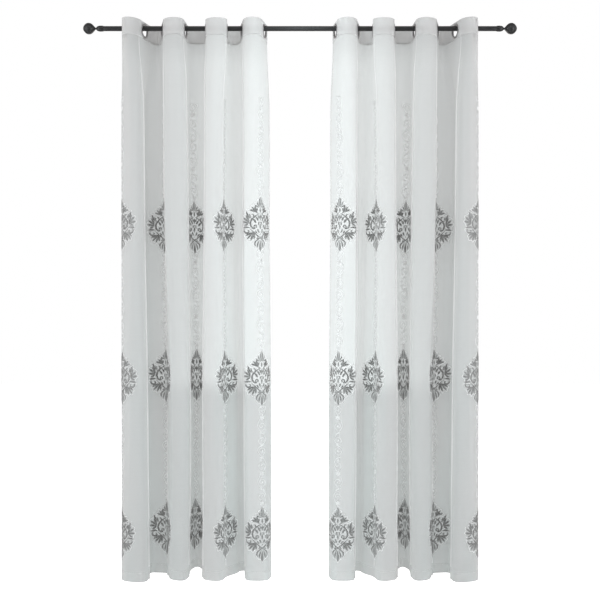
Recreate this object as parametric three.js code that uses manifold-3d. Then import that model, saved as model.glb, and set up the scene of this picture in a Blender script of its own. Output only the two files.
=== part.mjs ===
// A pair of sheer eyelet curtain panels hung on one round curtain rod.
//
// Frame: millimetres, +Z up. The origin is on the rod's axis at mid length.
// +X runs along the rod to the right, +Y runs back towards the wall.
//
// Each panel is one cut length of sheer cloth. Eight pressed eyelet rings are
// fitted in its heading, the rod runs through them, and the cloth goes back
// and forth over the rod in four front folds and three back folds. The right
// panel is the left one mirrored in the plane X = 0.

import * as THREE from 'three';
import Module from 'manifold-3d';

const wasm = await Module();
wasm.setup();

// ---------------------------------------------------------------- rod
const ROD_DIAMETER = 19;
const ROD_HALF_LENGTH = 776.7;
const ROD_SIDES = 32;

// Finial, measured along the rod from its outer tip: a rounded ball that
// tapers to a thin neck, then a collar that sleeves over the rod's end.
const FINIAL_TIP = 837;
const FINIAL_SIDES = 22;
const COLLAR_BORE_RADIUS = 9.8;
const COLLAR_BORE_FLOOR = 60;
const FINIAL_PROFILE = [
  // along, radius
  [0, 0],
  [1.6, 7],
  [6, 13.6],
  [12, 18.7],
  [18, 21.1],
  [24, 21.4],
  [30, 19.9],
  [36, 16],
  [41.5, 10.6],
  [46, 5.6],
  [49, 3],
  [51.5, 5],
  [55, 8.4],
  [60, 10.3],
  [66, 11.2],
  [73, 11.1],
  [77, 10.7],
  [78, 10.2],
];

// ---------------------------------------------------------------- cloth
const CLOTH_THICKNESS = 2;
const PANEL_WIDTH = 1321; // flat, side hem to side hem
const PANEL_TOP = 24.4; // above the rod's axis
const PANEL_LENGTH = 2140;
const HEADING_FOOT = -43; // where the stiff heading band ends
const PANEL_FOOT = PANEL_TOP - PANEL_LENGTH;

// ---------------------------------------------------------------- eyelets
const EYELET_COUNT = 8;
const EYELET_MARGIN = 45; // from the side hem to the first eyelet's centre
const EYELET_PITCH = (PANEL_WIDTH - 2 * EYELET_MARGIN) / (EYELET_COUNT - 1);
const EYELET_FLAT = 30; // the heading stays flat this far each side of a centre
const EYELET_INNER_RADIUS = 20;
const EYELET_BARREL_RADIUS = 22;
const EYELET_FLANGE_RADIUS = 28;
const EYELET_FLANGE_THICKNESS = 1.5;
const CLOTH_HOLE_RADIUS = 22.5;
const GAP = 0.3;
const EYELET_SIDES = 20;
// The rings hang on the rod, so their centres sit below its axis.
const EYELET_Z = -(EYELET_INNER_RADIUS - ROD_DIAMETER / 2 - GAP);

// Where each eyelet sits along the rod, and how the cloth crosses the rod
// there. lean is the angle in degrees between the cloth and the rod, walking
// towards the middle of the rod. Odd eyelets lead to a front fold, even ones
// to a back fold.
const EYELETS = [
  { name: '1', x: -676.5, lean: 94 },
  { name: '2', x: -600.4, lean: 73 },
  { name: '3', x: -530.9, lean: 76 },
  { name: '4', x: -442.1, lean: 86 },
  { name: '5', x: -364.0, lean: 85 },
  { name: '6', x: -281.9, lean: 95 },
  { name: '7', x: -223.9, lean: 79 },
  { name: '8', x: -137.1, lean: 79 },
];

// Plan of the folds at four heights below the heading, for the left panel.
// Each row is one point of the plan: an edge, a place on a front or back fold,
// or on the wall between two folds. heading is the cloth's direction in degrees
// (0 along +X, negative towards the room). flat is the point's place across the
// flat panel, from the outer side hem.
const LEVELS = [
  {
    z: -300,
    plan: [
      { at: 'outer edge', x: -666.5, y: 40.5, heading: -126, flat: 0 },
      { at: 'wall 1', x: -684.5, y: 3.5, heading: -101, flat: 42 },
      { at: 'front 1', x: -631, y: -65, heading: 4, flat: 142 },
      { at: 'wall 2, start', x: -606, y: 7, heading: 99, flat: 231 },
      { at: 'wall 2, end', x: -609.5, y: 46, heading: 85, flat: 270 },
      { at: 'back 1', x: -553, y: 61.5, heading: -17, flat: 336 },
      { at: 'wall 3', x: -510.5, y: -43.5, heading: -43, flat: 455 },
      { at: 'wall 4, start', x: -440.5, y: -38, heading: 72, flat: 535 },
      { at: 'wall 4, end', x: -439, y: 2.5, heading: 97, flat: 576 },
      { at: 'back 2', x: -422.5, y: 80.5, heading: 20, flat: 661 },
      { at: 'wall 5', x: -369.5, y: 37.5, heading: -83, flat: 740 },
      { at: 'front 3', x: -344, y: -57.5, heading: -33, flat: 842 },
      { at: 'wall 6, start', x: -296.5, y: -36.5, heading: 79, flat: 905 },
      { at: 'wall 6, end', x: -282, y: 42, heading: 70, flat: 985 },
      { at: 'wall 7, start', x: -233, y: 63.5, heading: -43, flat: 1050 },
      { at: 'wall 7, middle', x: -220.5, y: 30.5, heading: -80, flat: 1086 },
      { at: 'wall 7, end', x: -209.5, y: -50, heading: -49, flat: 1168 },
      { at: 'front 4', x: -159, y: -58, heading: 34, flat: 1223 },
      { at: 'wall 8', x: -138.5, y: -32.5, heading: 65, flat: 1256 },
      { at: 'inner edge', x: -118.5, y: 29.5, heading: 73, flat: 1321 },
    ],
  },
  {
    z: -760,
    plan: [
      { at: 'outer edge', x: -664, y: 38, heading: -134, flat: 0 },
      { at: 'wall 1', x: -685, y: -9.5, heading: -88, flat: 54 },
      { at: 'front 1', x: -637, y: -66.5, heading: -14, flat: 136 },
      { at: 'wall 2', x: -602, y: 18, heading: 96, flat: 255 },
      { at: 'back 1, start', x: -582, y: 63, heading: -4, flat: 318 },
      { at: 'back 1, end', x: -543.5, y: 58, heading: -14, flat: 357 },
      { at: 'wall 3', x: -528, y: 40, heading: -82, flat: 383 },
      { at: 'front 2', x: -479.5, y: -41, heading: -5, flat: 490 },
      { at: 'wall 4', x: -432, y: 2.5, heading: 95, flat: 567 },
      { at: 'back 2', x: -412.5, y: 93, heading: 21, flat: 667 },
      { at: 'wall 5, start', x: -372.5, y: 64, heading: -72, flat: 725 },
      { at: 'wall 5, end', x: -368.5, y: -5, heading: -89, flat: 794 },
      { at: 'wall 6, start', x: -297, y: -24, heading: 78, flat: 935 },
      { at: 'wall 6, end', x: -262, y: 39, heading: 46, flat: 1009 },
      { at: 'wall 7, start', x: -245.5, y: 63, heading: 53, flat: 1038 },
      { at: 'wall 7, middle', x: -221, y: 53, heading: -74, flat: 1071 },
      { at: 'wall 7, end', x: -217.5, y: -22.5, heading: -86, flat: 1147 },
      { at: 'front 4', x: -192.5, y: -58.5, heading: -5, flat: 1199 },
      { at: 'wall 8', x: -129.5, y: -26, heading: 65, flat: 1280 },
      { at: 'inner edge', x: -117.5, y: 13, heading: 81, flat: 1321 },
    ],
  },
  {
    z: -1345,
    plan: [
      { at: 'outer edge', x: -663.5, y: 36.5, heading: -134, flat: 0 },
      { at: 'wall 1', x: -684.5, y: -2, heading: -97, flat: 45 },
      { at: 'front 1', x: -637.5, y: -61.5, heading: -16, flat: 130 },
      { at: 'wall 2', x: -593, y: 20, heading: 98, flat: 261 },
      { at: 'back 1, start', x: -572, y: 63.5, heading: -4, flat: 324 },
      { at: 'back 1, end', x: -545, y: 61.5, heading: -4, flat: 351 },
      { at: 'wall 3', x: -512.5, y: 27, heading: -67, flat: 404 },
      { at: 'front 2', x: -461.5, y: -37, heading: -8, flat: 490 },
      { at: 'wall 4', x: -425, y: 81, heading: 81, flat: 633 },
      { at: 'back 2', x: -405, y: 101, heading: -34, flat: 667 },
      { at: 'wall 5', x: -373.5, y: -3.5, heading: -87, flat: 779 },
      { at: 'front 3', x: -330, y: -70.5, heading: -9, flat: 866 },
      { at: 'wall 6, start', x: -295, y: -26.5, heading: 84, flat: 932 },
      { at: 'wall 6, end', x: -249.5, y: 32, heading: 42, flat: 1009 },
      { at: 'back 3', x: -225, y: 64.5, heading: -11, flat: 1053 },
      { at: 'wall 7, start', x: -217, y: 43.5, heading: -87, flat: 1077 },
      { at: 'wall 7, end', x: -214, y: -35.5, heading: -87, flat: 1156 },
      { at: 'front 4', x: -186.5, y: -58.5, heading: -3, flat: 1199 },
      { at: 'wall 8', x: -125.5, y: -31.5, heading: 65, flat: 1274 },
      { at: 'inner edge', x: -113, y: 13.5, heading: 85, flat: 1321 },
    ],
  },
  {
    z: PANEL_FOOT,
    plan: [
      { at: 'outer edge', x: -662, y: 48, heading: -129, flat: 0 },
      { at: 'wall 1', x: -685.5, y: -8, heading: -85, flat: 63 },
      { at: 'front 1', x: -623.5, y: -65.5, heading: -10, flat: 157 },
      { at: 'wall 2', x: -585, y: 19, heading: 100, flat: 276 },
      { at: 'back 1, start', x: -580, y: 47.5, heading: 34, flat: 306 },
      { at: 'back 1, end', x: -544.5, y: 48, heading: -8, flat: 342 },
      { at: 'wall 3', x: -509.5, y: 12.5, heading: -74, flat: 398 },
      { at: 'front 2', x: -461.5, y: -47.5, heading: -12, flat: 481 },
      { at: 'wall 4, start', x: -431, y: 36.5, heading: 93, flat: 585 },
      { at: 'wall 4, end', x: -427.5, y: 97, heading: 72, flat: 646 },
      { at: 'wall 5', x: -373.5, y: 10, heading: -87, flat: 797 },
      { at: 'front 3', x: -328, y: -52, heading: -16, flat: 884 },
      { at: 'wall 6', x: -291.5, y: -29.5, heading: 77, flat: 932 },
      { at: 'wall 7, start', x: -249, y: 40, heading: 52, flat: 1015 },
      { at: 'back 3', x: -229, y: 71, heading: 22, flat: 1053 },
      { at: 'wall 7, middle', x: -211, y: 30.5, heading: -85, flat: 1107 },
      { at: 'wall 7, end', x: -207, y: -33.5, heading: -76, flat: 1171 },
      { at: 'front 4', x: -149.5, y: -49, heading: 7, flat: 1235 },
      { at: 'wall 8', x: -115.5, y: -19, heading: 76, flat: 1286 },
      { at: 'inner edge', x: -112, y: 16, heading: 90, flat: 1321 },
    ],
  },
];

// Heights of the cloth's facet rows, from top to hem.
const ROW_HEIGHTS = [
  PANEL_TOP, HEADING_FOOT, -115, -200, -300, -530, -760, -955, -1150, -1345, -1600, -1860, PANEL_FOOT,
];

// Facet columns between the flat parts round two neighbouring eyelets.
const COLUMNS_BETWEEN_EYELETS = 6;

// ---------------------------------------------------------------- fold plans
const unit = (degrees) => new THREE.Vector2(
  Math.cos(THREE.MathUtils.degToRad(degrees)),
  Math.sin(THREE.MathUtils.degToRad(degrees)),
);

function bend(p0, dir0, p1, dir1, hold) {
  const reach = hold * p0.distanceTo(p1);
  return new THREE.CubicBezierCurve(
    p0,
    p0.clone().addScaledVector(dir0, reach),
    p1.clone().addScaledVector(dir1, -reach),
    p1,
  );
}

// The bend from one point to the next that is as long as the cloth between
// them.
function bendOfLength(p0, dir0, p1, dir1, length) {
  let low = 0.05;
  let high = 1.6;
  for (let i = 0; i < 40; i++) {
    const hold = (low + high) / 2;
    if (bend(p0, dir0, p1, dir1, hold).getLength() < length) low = hold;
    else high = hold;
  }
  return bend(p0, dir0, p1, dir1, (low + high) / 2);
}

// The heading's plan: a flat stretch at each eyelet, and a round turn between.
function headingPlan() {
  const path = new THREE.CurvePath();
  const walls = EYELETS.map(({ x, lean }, i) => ({
    centre: new THREE.Vector2(x, 0),
    dir: unit(i % 2 === 0 ? -lean : lean),
  }));
  walls.forEach(({ centre, dir }, i) => {
    const start = i === 0 ? -EYELET_MARGIN : -EYELET_FLAT;
    const end = i === walls.length - 1 ? EYELET_MARGIN : EYELET_FLAT;
    path.add(new THREE.LineCurve(
      centre.clone().addScaledVector(dir, start),
      centre.clone().addScaledVector(dir, end),
    ));
    if (i === walls.length - 1) return;
    const next = walls[i + 1];
    const from = centre.clone().addScaledVector(dir, EYELET_FLAT);
    const to = next.centre.clone().addScaledVector(next.dir, -EYELET_FLAT);
    path.add(bendOfLength(from, dir, to, next.dir, EYELET_PITCH - 2 * EYELET_FLAT));
  });
  return path;
}

// A plan below the heading: a bend from each row's point to the next one's.
function loosePlan(rows) {
  const path = new THREE.CurvePath();
  const point = (row) => new THREE.Vector2(row.x, row.y);
  rows.slice(1).forEach((row, i) => {
    const last = rows[i];
    path.add(bendOfLength(point(last), unit(last.heading), point(row), unit(row.heading), row.flat - last.flat));
  });
  return path;
}

const PLANS = [
  { z: HEADING_FOOT, path: headingPlan() },
  ...LEVELS.map(({ z, plan }) => ({ z, path: loosePlan(plan) })),
];

// A point of one plan, at a place across the flat panel.
function planPoint({ path }, flat) {
  return path.getPoint(THREE.MathUtils.clamp(flat / PANEL_WIDTH, 0, 1));
}

// How much of each plan a height takes: a smooth curve through the levels,
// which leaves the heading straight down.
function planWeights(z) {
  const weights = PLANS.map(() => 0);
  if (z >= PLANS[0].z) {
    weights[0] = 1;
    return weights;
  }
  let k = 0;
  while (k < PLANS.length - 2 && z < PLANS[k + 1].z) k++;
  const span = PLANS[k].z - PLANS[k + 1].z;
  const t = (PLANS[k].z - z) / span;
  const slope = (j, gain) => {
    if (j === 0) return;
    const above = PLANS[j - 1];
    const below = PLANS[Math.min(j + 1, PLANS.length - 1)];
    const rate = (gain * span) / (above.z - below.z);
    weights[Math.min(j + 1, PLANS.length - 1)] += rate;
    weights[j - 1] -= rate;
  };
  weights[k] += 2 * t ** 3 - 3 * t ** 2 + 1;
  weights[k + 1] += -2 * t ** 3 + 3 * t ** 2;
  slope(k, t ** 3 - 2 * t ** 2 + t);
  slope(k + 1, t ** 3 - t ** 2);
  return weights;
}

function clothPoint(flat, z) {
  const weights = planWeights(z);
  const p = new THREE.Vector2();
  PLANS.forEach((plan, k) => {
    if (weights[k] !== 0) p.addScaledVector(planPoint(plan, flat), weights[k]);
  });
  return p;
}

function clothNormal(flat, z) {
  const a = clothPoint(Math.max(flat - 1.5, 0), z);
  const b = clothPoint(Math.min(flat + 1.5, PANEL_WIDTH), z);
  const t = b.sub(a).normalize();
  return new THREE.Vector2(-t.y, t.x);
}

// ---------------------------------------------------------------- solids
function columnPlaces() {
  const list = [0];
  for (let i = 0; i < EYELET_COUNT; i++) {
    const centre = EYELET_MARGIN + i * EYELET_PITCH;
    list.push(centre - EYELET_FLAT, centre, centre + EYELET_FLAT);
    if (i === EYELET_COUNT - 1) break;
    const step = (EYELET_PITCH - 2 * EYELET_FLAT) / (COLUMNS_BETWEEN_EYELETS + 1);
    for (let j = 1; j <= COLUMNS_BETWEEN_EYELETS; j++) list.push(centre + EYELET_FLAT + j * step);
  }
  list.push(PANEL_WIDTH);
  return list;
}

// One closed sheet: a room side, a wall side and a rim round its four edges.
function sheetGeometry(side) {
  const columns = columnPlaces();
  if (side > 0) columns.reverse();
  const nc = columns.length;
  const nr = ROW_HEIGHTS.length;
  const positions = [];
  [-1, 1].forEach((face) => ROW_HEIGHTS.forEach((z) => columns.forEach((flat) => {
    const p = clothPoint(flat, z).addScaledVector(clothNormal(flat, z), (face * CLOTH_THICKNESS) / 2);
    positions.push(side > 0 ? -p.x : p.x, p.y, z);
  })));
  const id = (face, r, c) => (face * nr + r) * nc + c;
  const index = [];
  const quad = (a, b, c, d) => index.push(a, b, c, a, c, d);
  for (let r = 0; r + 1 < nr; r++) {
    for (let c = 0; c + 1 < nc; c++) {
      quad(id(0, r, c), id(0, r + 1, c), id(0, r + 1, c + 1), id(0, r, c + 1));
      index.push(id(1, r, c), id(1, r + 1, c + 1), id(1, r + 1, c));
      index.push(id(1, r, c), id(1, r, c + 1), id(1, r + 1, c + 1));
    }
    quad(id(0, r, 0), id(1, r, 0), id(1, r + 1, 0), id(0, r + 1, 0));
    quad(id(0, r, nc - 1), id(0, r + 1, nc - 1), id(1, r + 1, nc - 1), id(1, r, nc - 1));
  }
  for (let c = 0; c + 1 < nc; c++) {
    quad(id(0, 0, c), id(0, 0, c + 1), id(1, 0, c + 1), id(1, 0, c));
    quad(id(0, nr - 1, c), id(1, nr - 1, c), id(1, nr - 1, c + 1), id(0, nr - 1, c + 1));
  }
  const geometry = new THREE.BufferGeometry();
  geometry.setAttribute('position', new THREE.Float32BufferAttribute(positions, 3));
  geometry.setIndex(index);
  return geometry;
}

// Merges the seam vertices that a lathe leaves doubled, and turns the result
// into an indexed, position-only geometry.
function weld(geometry) {
  const source = geometry.index ? geometry.toNonIndexed() : geometry;
  const p = source.attributes.position;
  const seen = new Map();
  const positions = [];
  const corner = [];
  for (let i = 0; i < p.count; i++) {
    const key = [p.getX(i), p.getY(i), p.getZ(i)].map((v) => Math.round(v * 1e4)).join();
    if (!seen.has(key)) {
      seen.set(key, seen.size);
      positions.push(p.getX(i), p.getY(i), p.getZ(i));
    }
    corner.push(seen.get(key));
  }
  const index = [];
  for (let i = 0; i < corner.length; i += 3) {
    const [a, b, c] = corner.slice(i, i + 3);
    if (a !== b && b !== c && a !== c) index.push(a, b, c);
  }
  const out = new THREE.BufferGeometry();
  out.setAttribute('position', new THREE.Float32BufferAttribute(positions, 3));
  out.setIndex(index);
  return out;
}

function toManifold(geometry) {
  return new wasm.Manifold(new wasm.Mesh({
    numProp: 3,
    vertProperties: new Float32Array(geometry.attributes.position.array),
    triVerts: new Uint32Array(geometry.index.array),
  }));
}

function fromManifold(solid) {
  const mesh = solid.getMesh();
  const geometry = new THREE.BufferGeometry();
  geometry.setAttribute('position', new THREE.Float32BufferAttribute(mesh.vertProperties, 3));
  geometry.setIndex(new THREE.BufferAttribute(mesh.triVerts, 1));
  return geometry;
}

// A turned shape about the X axis, from (along, radius) pairs.
function turned(profile, sides) {
  const points = profile.map(([along, radius]) => new THREE.Vector2(radius, along));
  return weld(new THREE.LatheGeometry(points, sides)).rotateZ(-Math.PI / 2);
}

// The direction of an eyelet's axis, as an angle about +Z from +X.
function eyeletTurn(i, side) {
  const dir = unit(i % 2 === 0 ? -EYELETS[i].lean : EYELETS[i].lean);
  const turn = Math.atan2(dir.x, -dir.y);
  return side > 0 ? Math.PI - turn : turn;
}

function placeAtEyelet(object, i, side) {
  object.position.set(side > 0 ? -EYELETS[i].x : EYELETS[i].x, 0, EYELET_Z);
  object.rotation.z = eyeletTurn(i, side);
  return object;
}

function panelGeometry(side) {
  let solid = toManifold(sheetGeometry(side));
  const reach = CLOTH_THICKNESS * 3;
  const punch = turned([[-reach, 0], [-reach, CLOTH_HOLE_RADIUS], [reach, CLOTH_HOLE_RADIUS], [reach, 0]], EYELET_SIDES);
  EYELETS.forEach((_, i) => {
    const place = placeAtEyelet(new THREE.Object3D(), i, side);
    place.updateMatrix();
    solid = solid.subtract(toManifold(punch.clone().applyMatrix4(place.matrix)));
  });
  return fromManifold(solid);
}

function eyeletGeometry() {
  const inner = CLOTH_THICKNESS / 2 + GAP;
  const outer = inner + EYELET_FLANGE_THICKNESS;
  return turned([
    [-outer, EYELET_INNER_RADIUS],
    [-outer, EYELET_FLANGE_RADIUS],
    [-inner, EYELET_FLANGE_RADIUS],
    [-inner, EYELET_BARREL_RADIUS],
    [inner, EYELET_BARREL_RADIUS],
    [inner, EYELET_FLANGE_RADIUS],
    [outer, EYELET_FLANGE_RADIUS],
    [outer, EYELET_INNER_RADIUS],
    [-outer, EYELET_INNER_RADIUS],
  ], EYELET_SIDES);
}

function finialGeometry() {
  const end = FINIAL_PROFILE.at(-1)[0];
  const profile = [
    ...FINIAL_PROFILE,
    [end, COLLAR_BORE_RADIUS],
    [COLLAR_BORE_FLOOR, COLLAR_BORE_RADIUS],
    [COLLAR_BORE_FLOOR, 0],
  ];
  return turned(profile, FINIAL_SIDES);
}

// ---------------------------------------------------------------- assembly
const clothMaterial = () => new THREE.MeshStandardMaterial({
  color: 0xe3e5e3, roughness: 0.9, metalness: 0, transparent: true, opacity: 0.8, side: THREE.DoubleSide,
});
const eyeletMaterial = () => new THREE.MeshStandardMaterial({ color: 0x9a9c9c, roughness: 0.3, metalness: 1 });
const rodMaterial = () => new THREE.MeshStandardMaterial({ color: 0x2b2c2c, roughness: 0.4, metalness: 0.3 });

function named(name, geometry, material) {
  geometry.computeVertexNormals();
  const mesh = new THREE.Mesh(geometry, material);
  mesh.name = name;
  return mesh;
}

const curtains = new THREE.Group();

const rod = named(
  'rod',
  weld(new THREE.CylinderGeometry(ROD_DIAMETER / 2, ROD_DIAMETER / 2, 2 * ROD_HALF_LENGTH, ROD_SIDES)).rotateZ(-Math.PI / 2),
  rodMaterial(),
);
curtains.add(rod);

[-1, 1].forEach((side) => {
  const word = side < 0 ? 'left' : 'right';
  const finial = named(`finial_${word}`, finialGeometry(), rodMaterial());
  finial.position.x = side * FINIAL_TIP;
  if (side > 0) finial.rotation.z = Math.PI;
  curtains.add(finial);

  curtains.add(named(`curtain_${word}`, panelGeometry(side), clothMaterial()));

  EYELETS.forEach(({ name }, i) => {
    const ring = named(`eyelet_${word}_${name}`, eyeletGeometry(), eyeletMaterial());
    curtains.add(placeAtEyelet(ring, i, side));
  });
});

export default curtains;
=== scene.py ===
"""A pair of sheer embroidered eyelet curtain panels on a round rod.

Sizes below are in millimetres and turn into metres where a mesh is made.
+X runs along the rod, +Y back towards the wall, +Z up; the origin is on the
rod's axis at mid length. The right panel is the left one mirrored in X = 0.
"""

import math

import bpy
import numpy as np
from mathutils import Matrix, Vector


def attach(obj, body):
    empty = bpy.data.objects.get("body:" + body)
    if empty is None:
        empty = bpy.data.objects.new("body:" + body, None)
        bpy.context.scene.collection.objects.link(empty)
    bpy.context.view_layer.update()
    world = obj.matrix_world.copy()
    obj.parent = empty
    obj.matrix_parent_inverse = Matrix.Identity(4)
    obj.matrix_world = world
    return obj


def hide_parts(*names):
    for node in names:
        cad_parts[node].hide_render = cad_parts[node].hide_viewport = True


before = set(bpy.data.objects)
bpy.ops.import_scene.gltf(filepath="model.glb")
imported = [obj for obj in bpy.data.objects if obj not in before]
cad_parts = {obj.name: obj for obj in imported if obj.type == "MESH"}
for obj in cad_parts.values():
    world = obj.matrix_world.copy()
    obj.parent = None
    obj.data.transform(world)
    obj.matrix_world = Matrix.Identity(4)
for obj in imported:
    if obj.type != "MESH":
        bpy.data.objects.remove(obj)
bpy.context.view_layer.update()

MM = 0.001

# ------------------------------------------------------------------ sizes
ROD_RADIUS = 9.5
ROD_HALF_LENGTH = 776.7
FINIAL_TIP = 837.0
COLLAR_BORE_RADIUS = 9.8
COLLAR_BORE_FLOOR = 60.0
# distance along the rod from the finial's tip, radius
FINIAL_PROFILE = [
    (0, 0), (1.6, 7), (6, 13.6), (12, 18.7), (18, 21.1), (24, 21.4), (30, 19.9), (36, 16), (41.5, 10.6),
    (46, 5.6), (49, 3), (51.5, 5), (55, 8.4), (60, 10.3), (66, 11.2), (73, 11.1), (77, 10.7), (78, 10.2),
]

PANEL_WIDTH = 1321.0
PANEL_TOP = 24.4
PANEL_LENGTH = 2140.0
PANEL_FOOT = PANEL_TOP - PANEL_LENGTH
HEADING_FOOT = -43.0

EYELET_COUNT = 8
EYELET_MARGIN = 45.0
EYELET_PITCH = (PANEL_WIDTH - 2 * EYELET_MARGIN) / (EYELET_COUNT - 1)
EYELET_FLAT = 30.0
EYELET_Z = -10.2
CLOTH_HOLE_RADIUS = 22.5
# where each eyelet sits along the rod, and the cloth's angle to the rod there
EYELETS = [
    (-676.5, 94), (-600.4, 73), (-530.9, 76), (-442.1, 86),
    (-364.0, 85), (-281.9, 95), (-223.9, 79), (-137.1, 79),
]

# Plans of the folds below the heading: x, y, heading in degrees, and the
# point's place across the flat panel.
LEVELS = [
    (-300.0, [
        (-666.5, 40.5, -126, 0),  # outer edge
        (-684.5, 3.5, -101, 42),  # wall 1
        (-631, -65, 4, 142),  # front 1
        (-606, 7, 99, 231),  # wall 2, start
        (-609.5, 46, 85, 270),  # wall 2, end
        (-553, 61.5, -17, 336),  # back 1
        (-510.5, -43.5, -43, 455),  # wall 3
        (-440.5, -38, 72, 535),  # wall 4, start
        (-439, 2.5, 97, 576),  # wall 4, end
        (-422.5, 80.5, 20, 661),  # back 2
        (-369.5, 37.5, -83, 740),  # wall 5
        (-344, -57.5, -33, 842),  # front 3
        (-296.5, -36.5, 79, 905),  # wall 6, start
        (-282, 42, 70, 985),  # wall 6, end
        (-233, 63.5, -43, 1050),  # wall 7, start
        (-220.5, 30.5, -80, 1086),  # wall 7, middle
        (-209.5, -50, -49, 1168),  # wall 7, end
        (-159, -58, 34, 1223),  # front 4
        (-138.5, -32.5, 65, 1256),  # wall 8
        (-118.5, 29.5, 73, 1321),  # inner edge
    ]),
    (-760.0, [
        (-664, 38, -134, 0),  # outer edge
        (-685, -9.5, -88, 54),  # wall 1
        (-637, -66.5, -14, 136),  # front 1
        (-602, 18, 96, 255),  # wall 2
        (-582, 63, -4, 318),  # back 1, start
        (-543.5, 58, -14, 357),  # back 1, end
        (-528, 40, -82, 383),  # wall 3
        (-479.5, -41, -5, 490),  # front 2
        (-432, 2.5, 95, 567),  # wall 4
        (-412.5, 93, 21, 667),  # back 2
        (-372.5, 64, -72, 725),  # wall 5, start
        (-368.5, -5, -89, 794),  # wall 5, end
        (-297, -24, 78, 935),  # wall 6, start
        (-262, 39, 46, 1009),  # wall 6, end
        (-245.5, 63, 53, 1038),  # wall 7, start
        (-221, 53, -74, 1071),  # wall 7, middle
        (-217.5, -22.5, -86, 1147),  # wall 7, end
        (-192.5, -58.5, -5, 1199),  # front 4
        (-129.5, -26, 65, 1280),  # wall 8
        (-117.5, 13, 81, 1321),  # inner edge
    ]),
    (-1345.0, [
        (-663.5, 36.5, -134, 0),  # outer edge
        (-684.5, -2, -97, 45),  # wall 1
        (-637.5, -61.5, -16, 130),  # front 1
        (-593, 20, 98, 261),  # wall 2
        (-572, 63.5, -4, 324),  # back 1, start
        (-545, 61.5, -4, 351),  # back 1, end
        (-512.5, 27, -67, 404),  # wall 3
        (-461.5, -37, -8, 490),  # front 2
        (-425, 81, 81, 633),  # wall 4
        (-405, 101, -34, 667),  # back 2
        (-373.5, -3.5, -87, 779),  # wall 5
        (-330, -70.5, -9, 866),  # front 3
        (-295, -26.5, 84, 932),  # wall 6, start
        (-249.5, 32, 42, 1009),  # wall 6, end
        (-225, 64.5, -11, 1053),  # back 3
        (-217, 43.5, -87, 1077),  # wall 7, start
        (-214, -35.5, -87, 1156),  # wall 7, end
        (-186.5, -58.5, -3, 1199),  # front 4
        (-125.5, -31.5, 65, 1274),  # wall 8
        (-113, 13.5, 85, 1321),  # inner edge
    ]),
    (PANEL_FOOT, [
        (-662, 48, -129, 0),  # outer edge
        (-685.5, -8, -85, 63),  # wall 1
        (-623.5, -65.5, -10, 157),  # front 1
        (-585, 19, 100, 276),  # wall 2
        (-580, 47.5, 34, 306),  # back 1, start
        (-544.5, 48, -8, 342),  # back 1, end
        (-509.5, 12.5, -74, 398),  # wall 3
        (-461.5, -47.5, -12, 481),  # front 2
        (-431, 36.5, 93, 585),  # wall 4, start
        (-427.5, 97, 72, 646),  # wall 4, end
        (-373.5, 10, -87, 797),  # wall 5
        (-328, -52, -16, 884),  # front 3
        (-291.5, -29.5, 77, 932),  # wall 6
        (-249, 40, 52, 1015),  # wall 7, start
        (-229, 71, 22, 1053),  # back 3
        (-211, 30.5, -85, 1107),  # wall 7, middle
        (-207, -33.5, -76, 1171),  # wall 7, end
        (-149.5, -49, 7, 1235),  # front 4
        (-115.5, -19, 76, 1286),  # wall 8
        (-112, 16, 90, 1321),  # inner edge
    ]),
]

# Turnings: the heading and the bottom hem are the cloth folded to the back,
# and the side hems are narrow turnings.
TURN = 0.62
HEADING_DEPTH = PANEL_TOP + 41.0
HEM_DEPTH = 38.0
SIDE_HEM = 15.0
TURNED_IN = 14.0

# Soft secondary creases: flat place across the panel at the crease's top and
# foot, top and foot heights, half width, and depth (plus is a trough seen from
# the room, minus a ridge).
CREASES = [
    # s_top, s_foot, z_top, z_foot, half, depth
    (116, 112, -60, -2100, 9, 1.9),
    (158, 150, -70, -2100, 11, -1.7),
    (186, 190, -120, -1700, 8, 1.5),
    (232, 236, -90, -2100, 12, 1.4),
    (282, 276, -60, -1500, 10, -1.2),
    (420, 424, -60, -2100, 8, 2.0),
    (446, 452, -80, -2100, 10, -1.7),
    (492, 488, -60, -2100, 11, 1.7),
    (516, 520, -140, -1900, 8, -1.4),
    (596, 600, -80, -2100, 12, 1.4),
    (700, 696, -90, -1900, 10, -1.4),
    (800, 806, -60, -2100, 9, 1.9),
    (838, 834, -80, -2100, 11, -1.5),
    (866, 870, -60, -2100, 8, 1.7),
    (930, 926, -120, -1700, 11, 1.2),
    (1030, 1036, -70, -2100, 12, 1.4),
    (1142, 1138, -60, -2100, 9, 1.9),
    (1180, 1186, -80, -2100, 11, -1.9),
    (1216, 1222, -60, -2100, 9, 1.7),
    (1262, 1258, -80, -2100, 10, -1.4),
]

# Each fold's edge is a thin pinch of cloth: its flat place across the panel at
# each of these heights, how far it stands out, and its half width.
EDGE_HEIGHTS = [-60, -200, -300, -530, -760, -955, -1150, -1345, -1600, -1860, -2090]
FOLD_EDGES = [
    # name, flat places, stands out
    ("fold 1, right", [178, 186, 200, 222, 226, 212, 204, 213, 232, 240, 232], 5.0),
    ("fold 2, left", [436, 428, 420, 423, 418, 396, 388, 386, 386, 390, 388], 4.0),
    ("fold 2, right", [538, 564, 557, 560, 560, 552, 546, 546, 555, 560, 548], 5.0),
    ("fold 3, left", [782, 780, 789, 803, 806, 800, 792, 788, 789, 799, 815], 4.5),
    ("fold 3, right", [880, 905, 922, 938, 944, 945, 946, 948, 954, 956, 955], 1.6),
    ("fold 4, left", [1134, 1112, 1129, 1143, 1150, 1158, 1160, 1158, 1157, 1157, 1157], 4.5),
]
EDGE_HALF = 1.5

# Embroidery: five columns of medallions in three rows, with scroll bands
# between the rows and above the top one.
MOTIF_COLUMNS = [80.0, 370.25, 660.5, 950.75, 1241.0]
MOTIF_ROWS = [-759.6, -1344.6, -1938.6]


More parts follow.
